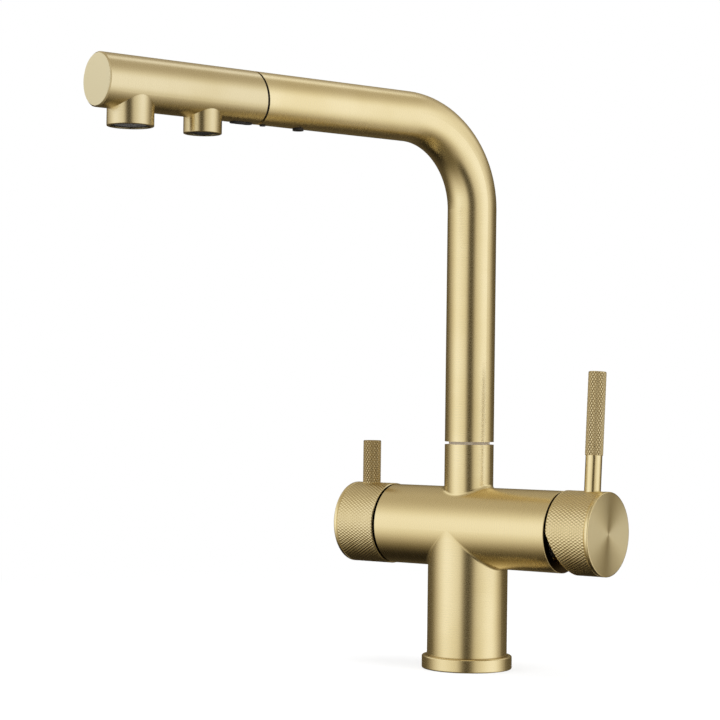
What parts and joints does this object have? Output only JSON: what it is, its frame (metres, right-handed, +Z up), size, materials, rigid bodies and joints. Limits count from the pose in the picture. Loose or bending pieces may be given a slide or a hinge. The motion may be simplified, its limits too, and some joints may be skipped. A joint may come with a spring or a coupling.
{
  "type": "kitchen tap",
  "caption": "Kitchen mixer tap in brushed brass with a second handle for filtered water, a swivelling spout and a pull-out head that has two outlets.",
  "frame": {"origin": "centre of the foot on the worktop, on the column's axis", "axes": "+Z up the column, +X along the barrel to the mixer lever, -Y towards the sink; the spout rests 16.7 degrees from -Y towards -X"},
  "size_m": [0.188, 0.2852, 0.3482],
  "materials": {
    "brushed_brass": "satin, fine lines along each tube",
    "turned_brass": "satin, turned and knurled",
    "raw_brass": "machined, unplated",
    "steel": "plain stainless",
    "rubber": "matt",
    "white_plastic": "moulded acetal",
    "black_plastic": "moulded, matt",
    "grey_plastic": "moulded, matt mesh",
    "ceramic": "lapped ceramic",
    "hose_sleeve": "braided nylon sleeve"
  },
  "bodies": {
    "body": {"base_flange": "turned_brass", "base_gasket": "rubber", "tap_body": "brushed_brass", "inlet_manifold": "raw_brass", "manifold_seals": "rubber", "manifold_pins": "steel", "cartridge_housing": "white_plastic", "cartridge_port_seals": "rubber", "cartridge_fixed_disc": "ceramic", "cartridge_nut": "raw_brass", "filter_valve_seat": "rubber", "filter_valve_body": "raw_brass", "filter_fixed_disc": "ceramic", "swivel_ring": "white_plastic", "stop_screw": "steel"},
    "mixer_turner": {"cartridge_rotor": "white_plastic", "stem_pin": "steel"},
    "mixer_slider": {"cartridge_slider": "white_plastic", "cartridge_moving_disc": "ceramic"},
    "mixer_handle": {"cartridge_stem": "raw_brass", "mixer_knob": "turned_brass", "mixer_lever": "brushed_brass", "mixer_knob_screw": "steel"},
    "filter_handle": {"filter_moving_disc": "ceramic", "filter_spindle": "raw_brass", "filter_spindle_seal": "rubber", "filter_spindle_clip": "steel", "filter_knob": "turned_brass", "filter_lever": "brushed_brass", "filter_knob_screw": "steel"},
    "spout": {"spout_spigot": "raw_brass", "spigot_slip_rings": "white_plastic", "spigot_ring_seal": "rubber", "spout_tube": "brushed_brass", "docking_collar": "black_plastic", "pull_out_hose": "hose_sleeve"},
    "spray_head": {"head_shell": "brushed_brass", "head_core": "black_plastic", "outlet_seals": "rubber", "main_aerator_cage": "black_plastic", "main_aerator_insert": "grey_plastic", "filter_outlet_nozzle": "black_plastic", "core_lock_plug": "black_plastic", "hose_nut": "raw_brass", "hose_ferrule": "steel"}
  },
  "joints": [
    {"name": "spout_swivel", "type": "hinge", "parent": "body", "child": "spout", "pos_m": [0, 0, 0.1373], "axis": [0, 0, 1], "range_deg": [-58.3, 91.7]},
    {"name": "head_pull_out", "type": "slide", "parent": "spout", "child": "spray_head", "axis": [-0.2874, -0.9578, 0], "range_m": [0, 0.45], "deforming": ["pull_out_hose"]},
    {"name": "mixer_turn", "type": "hinge", "parent": "body", "child": "mixer_turner", "pos_m": [0.0517, 0, 0.086], "axis": [1, 0, 0], "range_deg": [-46.3, 53.7]},
    {"name": "mixer_tilt", "type": "hinge", "parent": "mixer_turner", "child": "mixer_handle", "pos_m": [0.0517, 0, 0.086], "axis": [0, 0.9979, -0.0645], "range_deg": [0, 20]},
    {"name": "mixer_disc_slide", "type": "slide", "parent": "mixer_turner", "child": "mixer_slider", "axis": [0, 0.0645, 0.9979], "range_m": [0, 0.00401]},
    {"name": "filter_turn", "type": "hinge", "parent": "body", "child": "filter_handle", "pos_m": [-0.07, 0, 0.086], "axis": [1, 0, 0], "range_deg": [0, 90]}
  ],
  "couplings": [
    {"joint": "mixer_disc_slide", "follows": "mixer_tilt", "m_per_rad": 0.011459}
  ]
}
